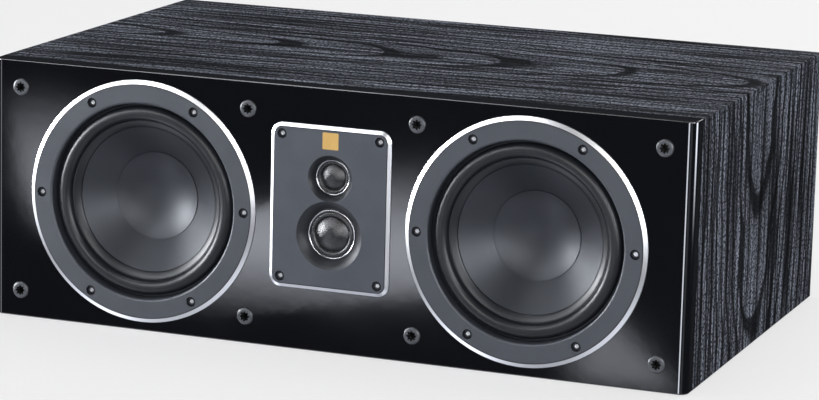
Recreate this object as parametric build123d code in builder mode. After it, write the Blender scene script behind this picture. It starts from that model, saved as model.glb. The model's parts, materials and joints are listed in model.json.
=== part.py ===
from build123d import *
import os
from math import cos, radians, sin

# Centre channel loudspeaker: two woofers beside a plate with two domes, in a folded cabinet.
# Millimetres. +Z is up, the front faces -Y and the origin is the bottom centre of the whole part.
# Depths are counted from the front face of the baffle towards the back.

# Cabinet
cabinet_width = 530.0
cabinet_height = 190.0
cabinet_depth = 330.0
wall_thickness = 16.0
fold_radius = 0.8
baffle_thickness = 19.0
baffle_lip_thickness = 15.0
baffle_edge_radius = 6.0
baffle_rim_radius = 1.0
rear_panel_thickness = 16.0
rear_panel_inset = 1.0
glue_gap = 0.1
brace_x = 60.0
brace_thickness = 15.0
brace_rail = 34.0
brace_window_radius = 18.0

# Grille sockets
socket_outer_x = 243.1
socket_inner_x = 63.9
socket_spacing_z = 150.6
socket_rim_radius = 6.3
socket_rim_height = 1.4
socket_body_radius = 4.6
socket_body_length = 13.0
socket_bore_radius = 2.6
socket_bore_depth = 11.0
socket_mouth_depth = 4.5
socket_lobe_count = 8
socket_lobe_radius = 0.85
socket_lobe_pitch_radius = 2.8
socket_clearance = 0.1
socket_hole_over = 0.5

# Woofer frame
woofer_x = 145.6
woofer_z = 95.0
flange_radius = 88.5
flange_proud = 2.0
flange_thickness = 6.0
flange_bevel_width = 3.3
flange_bevel_height = 1.6
flange_opening_radius = 71.5
flange_lip_radius = 1.8
gasket_thickness = 1.5
gasket_inset = 0.5
rebate_clearance = 0.4
basket_radius = 75.0
basket_wall = 3.5
basket_clearance = 0.6
surround_ledge_depth = 7.0
surround_ledge_thickness = 3.0
surround_ledge_radius = 66.5
spider_ledge_depth = 45.0
spider_ledge_radius = 42.0
spider_seat_radius = 48.5
basket_floor_depth = 55.0
basket_floor_thickness = 3.0
basket_floor_bore = 17.0
window_count = 6
window_arc = 42.0
window_start_depth = 13.0
window_end_depth = 40.0
window_overcut = 2.0
basket_shoulder = 2.0
spider_seat_rise = 4.0

# Woofer moving system
surround_thickness = 1.0
surround_outer_radius = 69.3
surround_inner_radius = 58.5
surround_crest_depth = 0.7
surround_lip_radius = 53.0
surround_seat_gap = 0.2
cone_edge_radius = 57.5
cone_edge_depth = 6.7
cone_slope = 0.727
cone_thickness = 0.8
cap_radius = 32.0
cap_sag = 9.0
cap_thickness = 0.6
former_radius = 13.0
former_wall = 0.4
former_end_depth = 66.0
winding_thickness = 0.7
winding_start_depth = 55.0
winding_end_depth = 65.0
spider_thickness = 0.6
spider_neck_width = 2.0
spider_ledge_gap = 1.0
spider_seat_gap = 0.3
spider_waves = 4
spider_wave_height = 1.0
bond_gap = 0.05

# Woofer motor
top_plate_radius = 43.0
top_plate_thickness = 6.0
gap_outer_radius = 14.4
magnet_radius = 45.0
magnet_bore_radius = 22.0
magnet_thickness = 17.0
yoke_radius = 43.0
yoke_thickness = 6.0
pole_radius = 12.1
pole_vent_radius = 4.0

# Screws of the front
woofer_screw_count = 6
woofer_screw_radius = 79.75
screw_shank_radius = 2.0
screw_head_radius = 3.2
screw_head_height = 2.6
screw_head_edge = 0.6
screw_socket_across = 3.0
screw_socket_depth = 1.6
screw_length = 15.0
screw_sink_radius = 3.6
screw_sink_depth = 4.2
screw_clearance = 0.3
pilot_clearance = 0.05
pilot_over = 3.0

# Tweeter plate
plate_z = 104.0
plate_width = 91.0
plate_height = 118.4
plate_corner_radius = 8.5
plate_proud = 2.0
plate_thickness = 6.0
plate_bevel_width = 2.9
plate_bevel_height = 1.6
plate_pad_width = 72.0
plate_pad_height = 92.0
plate_pad_depth = 9.0
plate_pad_clearance = 1.0
plate_screw_x = 37.0
plate_screw_z = 51.4
horn_depth = 6.0
horn_curve = 1.2

# The two domes: name, height over the plate centre, horn mouth, throat, dome radius, dome rise, motor radius
dome_units = (
    ("tweeter", -19.0, 24.9, 18.2, 12.7, 4.2, 22.0),
    ("upper_tweeter", 22.0, 16.8, 13.3, 9.5, 3.2, 16.5),
)
dome_thickness = 0.4
dome_roll_ratio = 0.3
dome_lip_width = 1.8
ring_thickness = 1.4
ring_recess = 0.6
ring_crown = 0.5
ring_width = 1.3
ring_clearance = 0.2
dome_coil_wall = 0.4
dome_coil_length = 4.2
dome_gap = 0.6
dome_pole_thickness = 3.0
dome_magnet_thickness = 6.0
dome_yoke_wall = 3.5
dome_yoke_floor = 3.0

# Ports
port_side_distance = 100.0
port_z = 95.0
port_radius = 25.0
port_wall = 2.5
port_collar_radius = 31.0
port_flange_radius = 40.0
port_flange_thickness = 3.5
port_flare_radius = 9.0
port_length = 125.0
port_clearance = 0.3

# Terminal cup
terminal_z = 95.0
cup_width = 98.0
cup_height = 74.0
cup_corner_radius = 8.0
cup_flange_thickness = 2.5
cup_gasket_thickness = 1.0
cup_gasket_inset = 1.0
cup_mouth_width = 76.0
cup_mouth_height = 52.0
cup_mouth_radius = 7.0
cup_depth = 31.0
cup_wall = 2.5
cup_clearance = 0.5
cup_screw_x = 43.0
cup_screw_z = 31.0
cup_screw_shank_radius = 1.6
cup_screw_head_radius = 3.0
cup_screw_head_height = 1.8
cup_screw_length = 13.0
cup_screw_cross = 1.0

# Binding posts
post_spacing = 32.0
post_radius = 3.0
post_bore_radius = 2.0
post_bore_depth = 13.0
post_recess = 1.2
post_tail = 12.0
post_wire_hole_radius = 1.5
post_wire_hole_height = 1.8
boss_radius = 7.5
boss_height = 4.0
washer_radius = 6.8
washer_thickness = 1.2
cap_nut_radius = 7.0
cap_nut_length = 17.0
cap_nut_edge = 0.8
cap_nut_groove_count = 18
cap_nut_groove_radius = 0.55
thread_clearance = 0.1
hex_nut_across = 10.0
hex_nut_thickness = 5.0

# Crossover
board_width = 90.0
board_length = 130.0
board_thickness = 1.6
board_depth = 200.0
standoff_height = 8.0
standoff_radius = 4.0
standoff_inset = 6.0
coil_radius = 20.0
coil_bore_radius = 8.0
coil_height = 20.0
capacitor_radius = 8.0
capacitor_length = 36.0
resistor_length = 24.0
resistor_side = 9.5

# Damping wool
wool_motor_gap = 25.0
wool_port_gap = 14.0
wool_gap = 4.0
wool_headroom = 22.0
wool_edge = 12.0

# Places that follow from the sizes above
front_reach = max(flange_proud, plate_proud)
panel_back = cabinet_depth - rear_panel_inset
panel_front = panel_back - rear_panel_thickness
cup_rear = panel_back + cup_gasket_thickness + cup_flange_thickness
rear_reach = max(cup_rear + cup_screw_head_height, panel_back + port_flange_thickness) - cabinet_depth
front_y = (front_reach - cabinet_depth - rear_reach) / 2
port_x = cabinet_width / 2 - port_side_distance
inner_width = cabinet_width - 2 * wall_thickness
inner_height = cabinet_height - 2 * wall_thickness
mid_z = cabinet_height / 2
rebate_depth = flange_thickness - flange_proud + gasket_thickness
plate_rebate_depth = plate_thickness - plate_proud + gasket_thickness
floor_back = basket_floor_depth + basket_floor_thickness
motor_back = floor_back + top_plate_thickness + magnet_thickness + yoke_thickness
wool_depth = motor_back + wool_motor_gap
wool_thickness = panel_back - port_length - wool_port_gap - wool_depth
woofer_places = (("left", -woofer_x), ("right", woofer_x))
socket_places = [
    (x, mid_z + half)
    for half in (-socket_spacing_z / 2, socket_spacing_z / 2)
    for x in (-socket_outer_x, -socket_inner_x, socket_inner_x, socket_outer_x)
]
plate_screw_places = [
    (x, plate_z + z) for z in (-plate_screw_z, plate_screw_z) for x in (-plate_screw_x, plate_screw_x)
]
cup_screw_places = [
    (x, terminal_z + z) for z in (-cup_screw_z, cup_screw_z) for x in (-cup_screw_x, cup_screw_x)
]


def front_plane(x, z, depth=0.0):
    """Plane that looks out of the front: local x is +X, local y is +Z."""
    return Plane(origin=(x, front_y + depth, z), x_dir=(1, 0, 0), z_dir=(0, -1, 0))


def rear_plane(x, z, depth):
    """Plane that looks out of the back: local x is -X, local y is +Z."""
    return Plane(origin=(x, front_y + depth, z), x_dir=(-1, 0, 0), z_dir=(0, 1, 0))


def section_plane(x, z, angle=0.0):
    """Plane through a driver's axis: local x is the radius, local y the depth."""
    turn = radians(angle)
    return Plane(
        origin=(x, front_y, z),
        x_dir=(cos(turn), 0, sin(turn)),
        z_dir=(-sin(turn), 0, cos(turn)),
    )


def driver_axis(x, z):
    return Axis((x, front_y, z), (0, 1, 0))


def cone_front(radius):
    """Depth of the cone's front face at a radius."""
    return cone_edge_depth + (cone_edge_radius - radius) * cone_slope


def dish_radius(radius, rise):
    """Sphere radius of a dish with this rim radius and rise."""
    return (radius**2 + rise**2) / (2 * rise)


def save(piece, name):
    piece.part.label = name
    export_step(piece.part, f"parts/{name}.step")


os.makedirs("parts", exist_ok=True)

# Cabinet: one board folded into a tube, closed by the baffle and the rear panel
with BuildPart() as cabinet_wrap:
    with BuildSketch(front_plane(0, mid_z, baffle_lip_thickness)):
        RectangleRounded(cabinet_width, cabinet_height, fold_radius)
        Rectangle(inner_width, inner_height, mode=Mode.SUBTRACT)
    extrude(amount=-(cabinet_depth - baffle_lip_thickness))
save(cabinet_wrap, "cabinet_wrap")

# The baffle's lip covers the ends of the walls and its back steps into the tube
with BuildPart() as front_baffle:
    with BuildSketch() as baffle_plan:
        with Locations((0, front_y + baffle_lip_thickness / 2)):
            Rectangle(cabinet_width, baffle_lip_thickness)
        fillet(baffle_plan.vertices().group_by(Axis.Y)[0], radius=baffle_edge_radius)
    extrude(amount=cabinet_height)
    rim_faces = front_baffle.faces().filter_by(Axis.Z)
    rim_edges = rim_faces.edges().filter_by(lambda e: e.center().Y < front_y + baffle_lip_thickness * 0.9)
    fillet(rim_edges, radius=baffle_rim_radius)
    with BuildSketch(front_plane(0, mid_z, baffle_lip_thickness)):
        Rectangle(inner_width - 2 * glue_gap, inner_height - 2 * glue_gap)
    extrude(amount=baffle_lip_thickness - baffle_thickness)
    for side, centre_x in woofer_places:
        with BuildSketch(front_plane(centre_x, woofer_z)):
            Circle(flange_radius + rebate_clearance)
        extrude(amount=-rebate_depth, mode=Mode.SUBTRACT)
        with BuildSketch(front_plane(centre_x, woofer_z)):
            Circle(basket_radius + basket_clearance)
        extrude(amount=-baffle_thickness, mode=Mode.SUBTRACT)
        with Locations(front_plane(centre_x, woofer_z, rebate_depth)):
            with PolarLocations(woofer_screw_radius, woofer_screw_count):
                Hole(screw_shank_radius + pilot_clearance, depth=screw_length - rebate_depth + pilot_over)
    with BuildSketch(front_plane(0, plate_z)):
        RectangleRounded(
            plate_width + 2 * rebate_clearance,
            plate_height + 2 * rebate_clearance,
            plate_corner_radius + rebate_clearance,
        )
    extrude(amount=-plate_rebate_depth, mode=Mode.SUBTRACT)
    with BuildSketch(front_plane(0, plate_z)):
        RectangleRounded(
            plate_pad_width + 2 * plate_pad_clearance,
            plate_pad_height + 2 * plate_pad_clearance,
            plate_corner_radius + plate_pad_clearance,
        )
    extrude(amount=-baffle_thickness, mode=Mode.SUBTRACT)
    with Locations([front_plane(x, z, plate_rebate_depth) for x, z in plate_screw_places]):
        Hole(screw_shank_radius + pilot_clearance, depth=screw_length - plate_rebate_depth + pilot_over)
    with Locations([front_plane(x, z) for x, z in socket_places]):
        Hole(socket_body_radius + socket_clearance, depth=socket_body_length + socket_hole_over)
save(front_baffle, "front_baffle")

with BuildPart() as rear_panel:
    with BuildSketch(rear_plane(0, mid_z, panel_front)):
        Rectangle(inner_width - 2 * glue_gap, inner_height - 2 * glue_gap)
    extrude(amount=rear_panel_thickness)
    with Locations([rear_plane(x, port_z, panel_back) for x in (-port_x, port_x)]):
        Hole(port_collar_radius + port_clearance, depth=rear_panel_thickness)
    with BuildSketch(rear_plane(0, terminal_z, panel_back)):
        RectangleRounded(
            cup_mouth_width + 2 * (cup_wall + cup_clearance),
            cup_mouth_height + 2 * (cup_wall + cup_clearance),
            cup_mouth_radius + cup_wall + cup_clearance,
        )
    extrude(amount=-rear_panel_thickness, mode=Mode.SUBTRACT)
    with Locations([rear_plane(x, z, panel_back) for x, z in cup_screw_places]):
        Hole(cup_screw_shank_radius + pilot_clearance, depth=cup_screw_length)
save(rear_panel, "rear_panel")

# Braces stand between baffle and rear panel, each with two windows
brace_span = panel_front - baffle_thickness
brace_window_width = (brace_span - 3 * brace_rail) / 2
for side, centre_x in (("left", -brace_x), ("right", brace_x)):
    brace_plane = Plane(
        origin=(centre_x - brace_thickness / 2, front_y + baffle_thickness + brace_span / 2, mid_z),
        x_dir=(0, 1, 0),
        z_dir=(1, 0, 0),
    )
    with BuildPart() as brace:
        with BuildSketch(brace_plane):
            Rectangle(brace_span, inner_height)
            with GridLocations(brace_window_width + brace_rail, 0, 2, 1):
                RectangleRounded(
                    brace_window_width,
                    inner_height - 2 * brace_rail,
                    brace_window_radius,
                    mode=Mode.SUBTRACT,
                )
        extrude(amount=brace_thickness)
    save(brace, f"{side}_brace")

# Grille sockets: a domed rim, a toothed mouth and a round bore behind it
with BuildPart() as socket:
    with BuildSketch(Plane.XZ):
        with BuildLine():
            Line((0, -socket_body_length), (socket_body_radius, -socket_body_length))
            Line((socket_body_radius, -socket_body_length), (socket_body_radius, 0))
            Line((socket_body_radius, 0), (socket_rim_radius, 0))
            Line((socket_rim_radius, 0), (socket_rim_radius, 0.3))
            ThreePointArc(
                (socket_rim_radius, 0.3),
                (socket_rim_radius - 0.6, socket_rim_height - 0.35),
                (socket_body_radius, socket_rim_height),
            )
            Line((socket_body_radius, socket_rim_height), (0, socket_rim_height))
            Line((0, socket_rim_height), (0, -socket_body_length))
        make_face()
    revolve(axis=Axis.Z)
    with BuildSketch(Plane.XY.offset(socket_rim_height)):
        Circle(socket_bore_radius)
    extrude(amount=-(socket_bore_depth + socket_rim_height), mode=Mode.SUBTRACT)
    with BuildSketch(Plane.XY.offset(socket_rim_height)):
        Circle(socket_bore_radius)
        with PolarLocations(socket_lobe_pitch_radius, socket_lobe_count):
            Circle(socket_lobe_radius)
    extrude(amount=-socket_mouth_depth, mode=Mode.SUBTRACT)

with BuildPart() as grille_sockets:
    with Locations([front_plane(x, z) for x, z in socket_places]):
        add(socket.part)
save(grille_sockets, "grille_sockets")

# Front screw with a hex socket, its seat at z = 0
with BuildPart() as front_screw:
    with BuildSketch():
        Circle(screw_head_radius)
    extrude(amount=screw_head_height)
    fillet(front_screw.edges().group_by(Axis.Z)[-1], radius=screw_head_edge)
    with BuildSketch(Plane.XY.offset(screw_head_height)):
        RegularPolygon(screw_socket_across / 2, 6, major_radius=False)
    extrude(amount=-screw_socket_depth, mode=Mode.SUBTRACT)
    with BuildSketch():
        Circle(screw_shank_radius)
    extrude(amount=-screw_length)

# Woofers, left and right of the plate
for side, centre_x in woofer_places:
    section = section_plane(centre_x, woofer_z)
    axis = driver_axis(centre_x, woofer_z)
    face_plane = front_plane(centre_x, woofer_z, -flange_proud)
    seat_plane = front_plane(centre_x, woofer_z, screw_sink_depth - flange_proud)

    # Cast frame: flange, surround ledge, conical basket, spider ledge and floor
    with BuildPart() as frame:
        with BuildSketch(section):
            with BuildLine():
                Polyline(
                    (flange_opening_radius + flange_lip_radius, -flange_proud),
                    (flange_radius - flange_bevel_width, -flange_proud),
                    (flange_radius, flange_bevel_height - flange_proud),
                    (flange_radius, flange_thickness - flange_proud),
                    (basket_radius, flange_thickness - flange_proud),
                    (basket_radius, window_start_depth - basket_shoulder),
                    (spider_seat_radius + basket_wall, spider_ledge_depth - spider_seat_rise),
                    (spider_seat_radius + basket_wall, floor_back),
                    (basket_floor_bore, floor_back),
                    (basket_floor_bore, basket_floor_depth),
                    (spider_ledge_radius, basket_floor_depth),
                    (spider_ledge_radius, spider_ledge_depth),
                    (spider_seat_radius, spider_ledge_depth),
                    (spider_seat_radius, spider_ledge_depth - spider_seat_rise),
                    (basket_radius - basket_wall, window_start_depth - basket_shoulder),
                    (surround_ledge_radius, surround_ledge_depth + surround_ledge_thickness),
                    (surround_ledge_radius, surround_ledge_depth),
                    (flange_opening_radius, surround_ledge_depth),
                    (flange_opening_radius, flange_lip_radius - flange_proud),
                )
                RadiusArc(
                    (flange_opening_radius, flange_lip_radius - flange_proud),
                    (flange_opening_radius + flange_lip_radius, -flange_proud),
                    -flange_lip_radius,
                )
            make_face()
        revolve(axis=axis)
        for index in range(window_count):
            start = 360 / window_count * (index + 0.5) + window_arc / 2
            with BuildSketch(section_plane(centre_x, woofer_z, start)):
                with BuildLine():
                    Polyline(
                        (spider_seat_radius - window_overcut / 2, window_start_depth),
                        (basket_radius + window_overcut, window_start_depth),
                        (basket_radius + window_overcut, window_end_depth),
                        (spider_seat_radius - window_overcut / 2, window_end_depth),
                        close=True,
                    )
                make_face()
            revolve(axis=axis, revolution_arc=window_arc, mode=Mode.SUBTRACT)
        with Locations(face_plane):
            with PolarLocations(woofer_screw_radius, woofer_screw_count):
                CounterBoreHole(
                    screw_shank_radius + screw_clearance,
                    screw_sink_radius,
                    screw_sink_depth,
                    depth=flange_thickness,
                )
    save(frame, f"{side}_woofer_frame")

    with BuildPart() as gasket:
        with BuildSketch(front_plane(centre_x, woofer_z, rebate_depth)):
            Circle(flange_radius - gasket_inset)
            Circle(basket_radius + basket_clearance, mode=Mode.SUBTRACT)
            with PolarLocations(woofer_screw_radius, woofer_screw_count):
                Circle(screw_shank_radius + screw_clearance, mode=Mode.SUBTRACT)
        extrude(amount=gasket_thickness)
    save(gasket, f"{side}_woofer_gasket")

    with BuildPart() as screws:
        with Locations(seat_plane):
            with PolarLocations(woofer_screw_radius, woofer_screw_count):
                add(front_screw.part)
    save(screws, f"{side}_woofer_screws")

    # Half-roll surround between the frame's ledge and the cone's edge
    lip_front = surround_ledge_depth - surround_thickness
    crest_radius = (surround_outer_radius + surround_inner_radius) / 2
    lip_outer = flange_opening_radius - surround_seat_gap
    foot_front = cone_front(surround_inner_radius) - surround_thickness
    foot_back = cone_front(surround_inner_radius + surround_thickness) - bond_gap
    with BuildPart() as surround:
        with BuildSketch(section):
            with BuildLine():
                Polyline(
                    (surround_outer_radius, lip_front),
                    (lip_outer, lip_front),
                    (lip_outer, surround_ledge_depth),
                    (surround_outer_radius - surround_thickness, surround_ledge_depth),
                )
                ThreePointArc(
                    (surround_outer_radius - surround_thickness, surround_ledge_depth),
                    (crest_radius, surround_crest_depth + surround_thickness),
                    (surround_inner_radius + surround_thickness, foot_back),
                )
                Polyline(
                    (surround_inner_radius + surround_thickness, foot_back),
                    (surround_lip_radius, cone_front(surround_lip_radius) - bond_gap),
                    (surround_lip_radius, cone_front(surround_lip_radius) - surround_thickness),
                    (surround_inner_radius, foot_front),
                )
                ThreePointArc(
                    (surround_inner_radius, foot_front),
                    (crest_radius, surround_crest_depth),
                    (surround_outer_radius, lip_front),
                )
            make_face()
        revolve(axis=axis)
    save(surround, f"{side}_woofer_surround")

    # Cone, concave cap and voice coil move together
    neck_radius = former_radius + bond_gap
    with BuildPart() as cone:
        with BuildSketch(section):
            with BuildLine():
                Polyline(
                    (cone_edge_radius, cone_front(cone_edge_radius)),
                    (cone_edge_radius, cone_front(cone_edge_radius) + cone_thickness),
                    (neck_radius, cone_front(neck_radius) + cone_thickness),
                    (neck_radius, cone_front(neck_radius)),
                    close=True,
                )
            make_face()
        revolve(axis=axis)
    save(cone, f"{side}_woofer_cone")

    cap_back = cone_front(cap_radius) - bond_gap
    with BuildPart() as dust_cap:
        with BuildSketch(section):
            with BuildLine():
                Line((0, cap_back + cap_sag), (0, cap_back + cap_sag - cap_thickness))
                RadiusArc(
                    (0, cap_back + cap_sag - cap_thickness),
                    (cap_radius, cap_back - cap_thickness),
                    dish_radius(cap_radius, cap_sag),
                )
                Line((cap_radius, cap_back - cap_thickness), (cap_radius, cap_back))
                RadiusArc(
                    (cap_radius, cap_back),
                    (0, cap_back + cap_sag),
                    -dish_radius(cap_radius, cap_sag),
                )
            make_face()
        revolve(axis=axis)
    save(dust_cap, f"{side}_woofer_dust_cap")

    former_start = cone_front(neck_radius) - 1
    with BuildPart() as voice_coil:
        with BuildSketch(section):
            with BuildLine():
                Polyline(
                    (former_radius - former_wall, former_start),
                    (former_radius, former_start),
                    (former_radius, winding_start_depth),
                    (former_radius + winding_thickness, winding_start_depth),
                    (former_radius + winding_thickness, winding_end_depth),
                    (former_radius, winding_end_depth),
                    (former_radius, former_end_depth),
                    (former_radius - former_wall, former_end_depth),
                    close=True,
                )
            make_face()
        revolve(axis=axis)
    save(voice_coil, f"{side}_woofer_voice_coil")

    # Spider: a flat seat on its ledge, then waves down to the coil former
    spider_inner = former_radius + bond_gap
    spider_front = spider_ledge_depth - spider_thickness
    spider_outer = spider_seat_radius - spider_seat_gap
    waves_inner = spider_inner + spider_neck_width
    waves_outer = spider_ledge_radius - spider_ledge_gap
    wave_step = (waves_outer - waves_inner) / (2 * spider_waves)
    with BuildPart() as spider:
        with BuildSketch(section):
            with BuildLine():
                for level in (spider_front, spider_ledge_depth):
                    Line((spider_inner, level), (waves_inner, level))
                    for index in range(2 * spider_waves):
                        near = waves_inner + index * wave_step
                        swing = spider_wave_height if index % 2 else -spider_wave_height
                        ThreePointArc(
                            (near, level),
                            (near + wave_step / 2, level + swing),
                            (near + wave_step, level),
                        )
                    Line((waves_outer, level), (spider_outer, level))
                for radius in (spider_inner, spider_outer):
                    Line((radius, spider_front), (radius, spider_ledge_depth))
            make_face()
        revolve(axis=axis)
    save(spider, f"{side}_woofer_spider")

    # Motor: top plate, ring magnet and yoke with a vented pole
    magnet_front = floor_back + top_plate_thickness
    yoke_front = magnet_front + magnet_thickness
    with BuildPart() as top_plate:
        with BuildSketch(front_plane(centre_x, woofer_z, floor_back)):
            Circle(top_plate_radius)
            Circle(gap_outer_radius, mode=Mode.SUBTRACT)
        extrude(amount=-top_plate_thickness)
    save(top_plate, f"{side}_woofer_top_plate")

    with BuildPart() as magnet:
        with BuildSketch(front_plane(centre_x, woofer_z, magnet_front)):
            Circle(magnet_radius)
            Circle(magnet_bore_radius, mode=Mode.SUBTRACT)
        extrude(amount=-magnet_thickness)
        chamfer(magnet.edges().filter_by(GeomType.CIRCLE), length=1.0)
    save(magnet, f"{side}_woofer_magnet")

    with BuildPart() as yoke:
        with BuildSketch(front_plane(centre_x, woofer_z, yoke_front)):
            Circle(yoke_radius)
        extrude(amount=-yoke_thickness)
        with BuildSketch(front_plane(centre_x, woofer_z, yoke_front)):
            Circle(pole_radius)
        extrude(amount=yoke_front - floor_back)
        with Locations(rear_plane(centre_x, woofer_z, yoke_front + yoke_thickness)):
            Hole(pole_vent_radius)
    save(yoke, f"{side}_woofer_yoke")

# Tweeter plate: bevelled edge, a pad behind it, two shallow horns and four sunk screws
with BuildPart() as tweeter_plate:
    with BuildSketch(front_plane(0, plate_z, plate_thickness - plate_proud)):
        RectangleRounded(plate_width, plate_height, plate_corner_radius)
    extrude(amount=plate_thickness)
    plate_face = tweeter_plate.faces().sort_by(Axis.Y)[0]
    chamfer(
        plate_face.edges(),
        length=plate_bevel_width,
        length2=plate_bevel_height,
        reference=plate_face,
    )
    with BuildSketch(front_plane(0, plate_z, plate_thickness - plate_proud)):
        RectangleRounded(plate_pad_width, plate_pad_height, plate_corner_radius)
    extrude(amount=-(plate_pad_depth - plate_thickness + plate_proud))
    for name, rise, mouth, throat, dome, dome_rise, motor in dome_units:
        horn_z = plate_z + rise
        horn_floor = horn_depth - plate_proud
        wall_radius = (mouth + throat - horn_curve) / 2
        wall_depth = (horn_floor - plate_proud - horn_curve) / 2
        with BuildSketch(section_plane(0, horn_z)):
            with BuildLine():
                Line((0, -plate_proud), (mouth, -plate_proud))
                ThreePointArc((mouth, -plate_proud), (wall_radius, wall_depth), (throat, horn_floor))
                Polyline(
                    (throat, horn_floor),
                    (throat, plate_pad_depth),
                    (0, plate_pad_depth),
                    (0, -plate_proud),
                )
            make_face()
        revolve(axis=driver_axis(0, horn_z), mode=Mode.SUBTRACT)
    with Locations([front_plane(x, z, -plate_proud) for x, z in plate_screw_places]):
        CounterBoreHole(
            screw_shank_radius + screw_clearance,
            screw_sink_radius,
            screw_sink_depth,
            depth=plate_thickness,
        )
save(tweeter_plate, "tweeter_plate")

with BuildPart() as plate_gasket:
    with BuildSketch(front_plane(0, plate_z, plate_rebate_depth)):
        RectangleRounded(
            plate_width - 2 * gasket_inset,
            plate_height - 2 * gasket_inset,
            plate_corner_radius - gasket_inset,
        )
        RectangleRounded(
            plate_pad_width + 2 * plate_pad_clearance,
            plate_pad_height + 2 * plate_pad_clearance,
            plate_corner_radius + plate_pad_clearance,
            mode=Mode.SUBTRACT,
        )
        with GridLocations(2 * plate_screw_x, 2 * plate_screw_z, 2, 2):
            Circle(screw_shank_radius + screw_clearance, mode=Mode.SUBTRACT)
    extrude(amount=gasket_thickness)
save(plate_gasket, "tweeter_gasket")

with BuildPart() as plate_screws:
    with Locations([front_plane(x, z, screw_sink_depth - plate_proud) for x, z in plate_screw_places]):
        add(front_screw.part)
save(plate_screws, "tweeter_screws")

# Dome units: bright ring, dome with its roll and coil, pole plate, magnet and yoke cup
ring_front = horn_depth - plate_proud - ring_recess
ring_back = ring_front + ring_thickness
lip_back = ring_back + dome_thickness
for name, rise, mouth, throat, dome, dome_rise, motor in dome_units:
    section = section_plane(0, plate_z + rise)
    axis = driver_axis(0, plate_z + rise)
    edge = throat - ring_clearance
    roll_outer = edge - dome_lip_width
    roll_mid = (roll_outer + dome) / 2
    roll_height = (roll_outer - dome) * dome_roll_ratio
    coil_inner = dome - dome_coil_wall
    gap_inner = coil_inner - dome_gap
    gap_outer = dome + dome_gap
    pole_front = plate_pad_depth - 1
    magnet_start = pole_front + dome_pole_thickness
    yoke_floor = magnet_start + dome_magnet_thickness

    with BuildPart() as ring:
        with BuildSketch(section):
            with BuildLine():
                Polyline(
                    (edge, ring_front + ring_crown),
                    (edge, ring_back),
                    (edge - ring_width, ring_back),
                    (edge - ring_width, ring_front + ring_crown),
                )
                ThreePointArc(
                    (edge - ring_width, ring_front + ring_crown),
                    (edge - ring_width / 2, ring_front),
                    (edge, ring_front + ring_crown),
                )
            make_face()
        revolve(axis=axis)
    save(ring, f"{name}_ring")

    with BuildPart() as diaphragm:
        with BuildSketch(section):
            with BuildLine():
                Polyline((roll_outer, ring_back), (edge, ring_back), (edge, lip_back), (roll_outer, lip_back))
                ThreePointArc(
                    (roll_outer, lip_back),
                    (roll_mid, lip_back - roll_height),
                    (dome, lip_back),
                )
                Polyline(
                    (dome, lip_back),
                    (dome, lip_back + dome_coil_length),
                    (coil_inner, lip_back + dome_coil_length),
                    (coil_inner, lip_back),
                )
                RadiusArc(
                    (coil_inner, lip_back),
                    (0, lip_back - dome_rise),
                    dish_radius(coil_inner, dome_rise),
                )
                Line((0, lip_back - dome_rise), (0, ring_back - dome_rise))
                RadiusArc(
                    (0, ring_back - dome_rise),
                    (dome, ring_back),
                    -dish_radius(dome, dome_rise),
                )
                ThreePointArc(
                    (dome, ring_back),
                    (roll_mid, ring_back - roll_height),
                    (roll_outer, ring_back),
                )
            make_face()
        revolve(axis=axis)
    save(diaphragm, f"{name}_dome")

    with BuildPart() as pole_plate:
        with BuildSketch(front_plane(0, plate_z + rise, pole_front)):
            Circle(gap_inner)
        extrude(amount=-dome_pole_thickness)
    save(pole_plate, f"{name}_pole_plate")

    with BuildPart() as dome_magnet:
        with BuildSketch(front_plane(0, plate_z + rise, magnet_start)):
            Circle(gap_inner - 0.5)
        extrude(amount=-dome_magnet_thickness)
    save(dome_magnet, f"{name}_magnet")

    with BuildPart() as dome_yoke:
        with BuildSketch(section):
            with BuildLine():
                Polyline(
                    (roll_outer - 0.4, lip_back),
                    (edge, lip_back),
                    (edge, plate_pad_depth),
                    (motor, plate_pad_depth),
                    (motor, yoke_floor + dome_yoke_floor),
                    (0, yoke_floor + dome_yoke_floor),
                    (0, yoke_floor),
                    (motor - dome_yoke_wall, yoke_floor),
                    (motor - dome_yoke_wall, magnet_start),
                    (gap_outer, magnet_start),
                    (gap_outer, plate_pad_depth - 0.5),
                    (roll_outer - 0.4, plate_pad_depth - 0.5),
                    close=True,
                )
            make_face()
        revolve(axis=axis)
    save(dome_yoke, f"{name}_yoke")

# Port tubes: a collar in the rear panel, a flange outside and a flared mouth
port_back = panel_back + port_flange_thickness
for side, centre_x in (("left", -port_x), ("right", port_x)):
    with BuildPart() as port:
        with BuildSketch(section_plane(centre_x, port_z)):
            with BuildLine():
                Polyline(
                    (port_radius, port_back - port_flare_radius),
                    (port_radius, panel_back - port_length),
                    (port_radius + port_wall, panel_back - port_length),
                    (port_radius + port_wall, panel_front),
                    (port_collar_radius, panel_front),
                    (port_collar_radius, panel_back),
                    (port_flange_radius, panel_back),
                    (port_flange_radius, port_back - 1),
                    (port_flange_radius - 1, port_back),
                    (port_radius + port_flare_radius, port_back),
                )
                RadiusArc(
                    (port_radius, port_back - port_flare_radius),
                    (port_radius + port_flare_radius, port_back),
                    port_flare_radius,
                )
            make_face()
        revolve(axis=driver_axis(centre_x, port_z))
    save(port, f"{side}_port_tube")

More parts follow.
